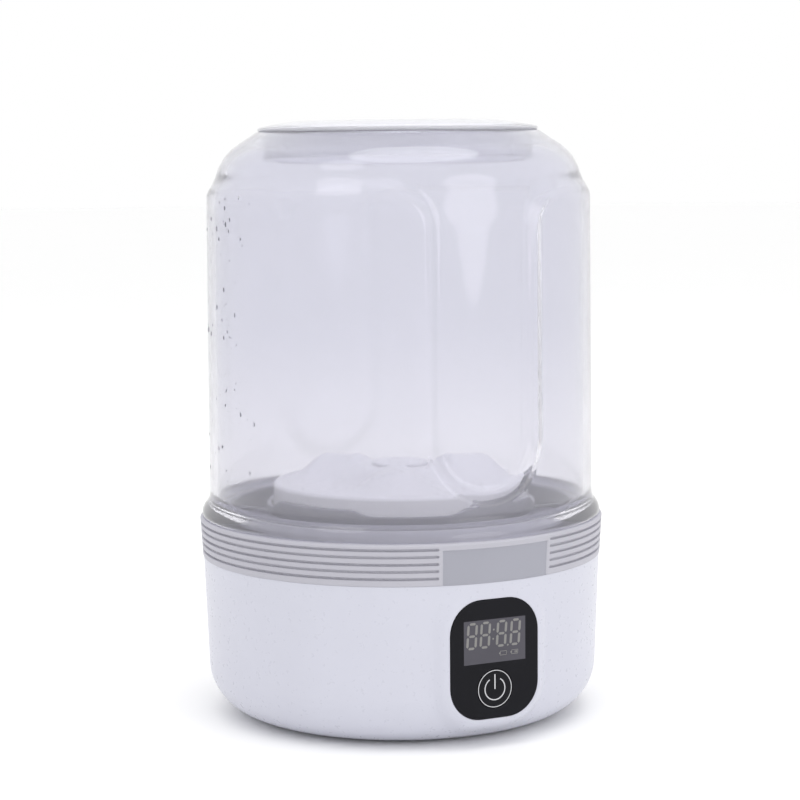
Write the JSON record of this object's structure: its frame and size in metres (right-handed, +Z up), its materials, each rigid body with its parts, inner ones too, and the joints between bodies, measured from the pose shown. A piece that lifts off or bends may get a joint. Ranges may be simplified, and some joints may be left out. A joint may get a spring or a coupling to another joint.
{
  "type": "ultrasonic cleaner",
  "caption": "Small countertop ultrasonic cleaner: round base with a display panel, ribbed collar, clear fluted vessel with a clear plug lid, and a lobed agitator disc in the basin.",
  "frame": {"origin": "centre of the footprint on the worktop, on the vessel's axis", "axes": "+Z up along the vessel's axis, the control panel faces -Y, the charging port +Y"},
  "size_m": [0.12, 0.12, 0.1753],
  "materials": {
    "shell_white": "satin moulded plastic",
    "cover_white": "fine texture",
    "collar_grey": "satin, fine texture",
    "basin_grey": "satin",
    "agitator_white": "satin",
    "vessel_clear": "clear moulded plastic, faint violet tint",
    "panel_black": "gloss",
    "button_black": "gloss",
    "foot_rubber": "matt",
    "seal_rubber": "matt",
    "seal_clear": "translucent silicone",
    "flap_grey": "soft silicone",
    "steel": "brushed",
    "screw_steel": "zinc plated",
    "brass": "turned",
    "piezo": "fired ceramic",
    "black_plastic": "matt",
    "white_plastic": "matt",
    "pcb_green": "solder mask",
    "chip_black": "matt",
    "transformer": "ferrite and tape",
    "capacitor": "sleeve",
    "heatsink": "extruded",
    "cell_sleeve": "shrink sleeve",
    "display_grey": "matt",
    "wire_red": "wire insulation",
    "wire_white": "wire insulation",
    "ribbon": "flat cable"
  },
  "bodies": {
    "base": {"base_shell": "shell_white", "bottom_cover": "cover_white", "foot_1": "foot_rubber", "foot_2": "foot_rubber", "foot_3": "foot_rubber", "foot_4": "foot_rubber", "cover_screws": "screw_steel", "grip_collar": "collar_grey", "basin": "basin_grey", "basin_screws": "screw_steel", "guard_ring": "basin_grey", "resonator_plate": "steel", "plate_gaskets": "seal_rubber", "piezo_front": "piezo", "piezo_rear": "piezo", "shaft_seal": "seal_rubber", "shaft_bush": "brass", "motor_can": "steel", "motor_end_cap": "black_plastic", "motor_bracket": "steel", "bracket_screws": "screw_steel", "battery_cell": "cell_sleeve", "battery_holder": "black_plastic", "main_board": "pcb_green", "board_screws": "screw_steel", "controller_chip": "chip_black", "driver_transformer": "transformer", "driver_capacitors": "capacitor", "driver_transistor": "heatsink", "board_connectors": "white_plastic", "display_board": "pcb_green", "display_screws": "screw_steel", "display_module": "display_grey", "display_panel": "panel_black", "power_switch": "steel", "charging_port": "steel", "port_board": "pcb_green", "port_hinge_pin": "steel", "battery_lead": "wire_red", "motor_lead": "wire_red", "piezo_leads": "wire_white", "display_ribbon": "ribbon"},
    "seal": {"vessel_gasket": "seal_rubber"},
    "vessel": {"vessel": "vessel_clear"},
    "lid": {"vessel_lid": "vessel_clear", "lid_seal": "seal_clear"},
    "drive": {"drive_shaft": "steel", "drive_coupling": "white_plastic"},
    "agitator": {"agitator_disc": "agitator_white", "agitator_cap": "agitator_white"},
    "button": {"power_button": "button_black"},
    "flap": {"port_flap": "flap_grey"}
  },
  "joints": [
    {"name": "vessel_turn", "type": "hinge", "parent": "base", "child": "seal", "pos_m": [0, 0, 0.06], "axis": [0, 0, 1], "range_deg": [0, 25]},
    {"name": "vessel_lift", "type": "slide", "parent": "seal", "child": "vessel", "axis": [0, 0, 1], "range_m": [0, 0.13]},
    {"name": "lid_lift", "type": "slide", "parent": "vessel", "child": "lid", "axis": [0, 0, 1], "range_m": [0, 0.03]},
    {"name": "drive_spin", "type": "hinge", "parent": "base", "child": "drive", "pos_m": [0, 0, 0.05], "axis": [0, 0, 1], "continuous": true},
    {"name": "agitator_lift", "type": "slide", "parent": "drive", "child": "agitator", "axis": [0, 0, 1], "range_m": [0, 0.03]},
    {"name": "power_press", "type": "slide", "parent": "base", "child": "button", "axis": [0, 1, 0], "range_m": [0, 0.0005], "stiffness_N_per_m": 400},
    {"name": "flap_open", "type": "hinge", "parent": "base", "child": "flap", "pos_m": [0, 0.0568, 0.0174], "axis": [-1, 0, 0], "range_deg": [0, 100]}
  ]
}
